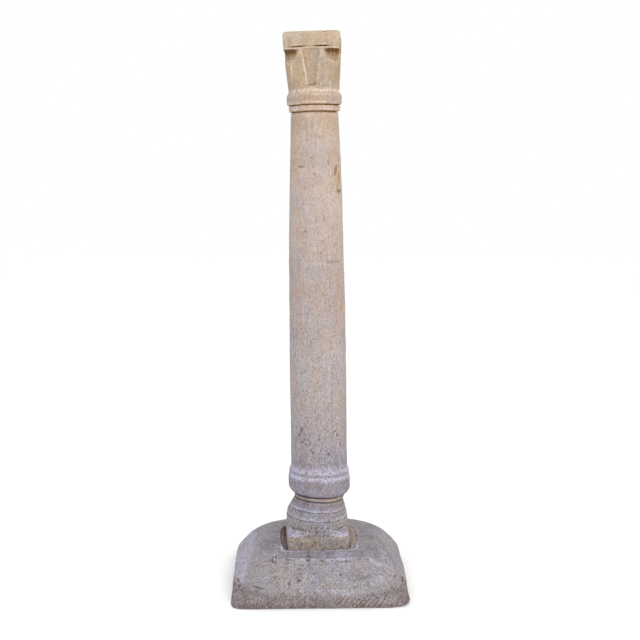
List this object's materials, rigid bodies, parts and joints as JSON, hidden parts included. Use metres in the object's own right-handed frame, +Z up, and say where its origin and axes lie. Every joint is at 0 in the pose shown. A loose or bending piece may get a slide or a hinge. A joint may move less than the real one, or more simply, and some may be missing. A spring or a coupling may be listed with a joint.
{
  "type": "marble column",
  "caption": "Carved stone column with a square abacus, tapering capital, swelling shaft, bulb and square foot, standing loose in the socket of a low domed base block.",
  "frame": {"origin": "centre of the base block's underside, on the ground", "axes": "+Z up along the column, the front with the worn lower corner towards -Y, +X to the right seen from the front; the base block's sides are parallel to X and Y"},
  "size_m": [0.511, 0.511, 1.6],
  "materials": {
    "base_block": "matt, tooled and weathered",
    "column": "matt, rubbed and weathered"
  },
  "bodies": {
    "root": {"base_block": "base_block", "column": "column"}
  },
  "joints": []
}
